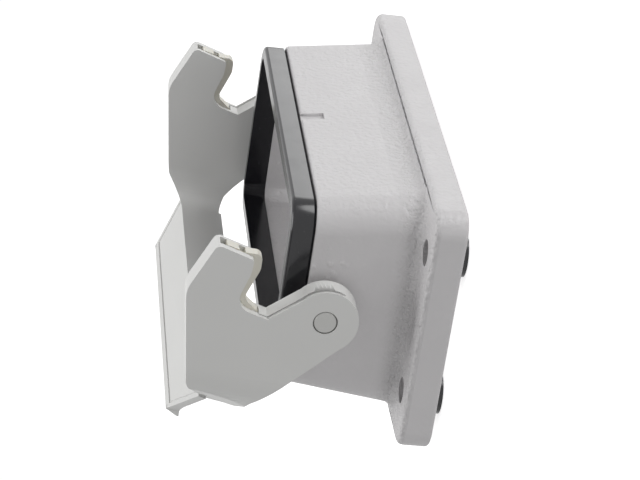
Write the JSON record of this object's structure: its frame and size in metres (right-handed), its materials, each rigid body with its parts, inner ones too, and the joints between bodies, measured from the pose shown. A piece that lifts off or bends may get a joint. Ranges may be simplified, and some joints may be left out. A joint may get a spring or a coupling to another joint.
{
  "type": "bulkhead housing with locking lever for a heavy duty rectangular connector",
  "caption": "Die-cast rectangular bulkhead housing with a screw-down flange, rim and panel seals, and a moulded locking lever hinged on pins at its two short ends.",
  "frame": {"origin": "centre of the flange's panel face, in the plane that meets the panel's metal", "axes": "+Z is the mating direction, away from the panel; +X runs along the long side; +Y is across it, on the side away from the lever's bridge"},
  "size_m": [0.117, 0.0607, 0.0555],
  "materials": {
    "housing": "wrinkle powder coat on die-cast aluminium",
    "seal": "smooth moulded elastomer",
    "lever": "satin moulded, glass-filled",
    "insert": "smooth moulded acetal",
    "pin": "turned, dull plated"
  },
  "bodies": {
    "housing": {"housing": "housing", "rim_gasket": "seal", "panel_gasket": "seal", "pivot_pin_right": "pin", "pivot_pin_left": "pin"},
    "lever": {"locking_lever": "lever", "hook_insert_right": "insert", "hook_insert_left": "insert"}
  },
  "joints": [
    {"name": "lever_pivot", "type": "hinge", "parent": "housing", "child": "lever", "pos_m": [0, 0, 0.0254], "axis": [1, 0, 0], "range_deg": [-96, 58]}
  ]
}
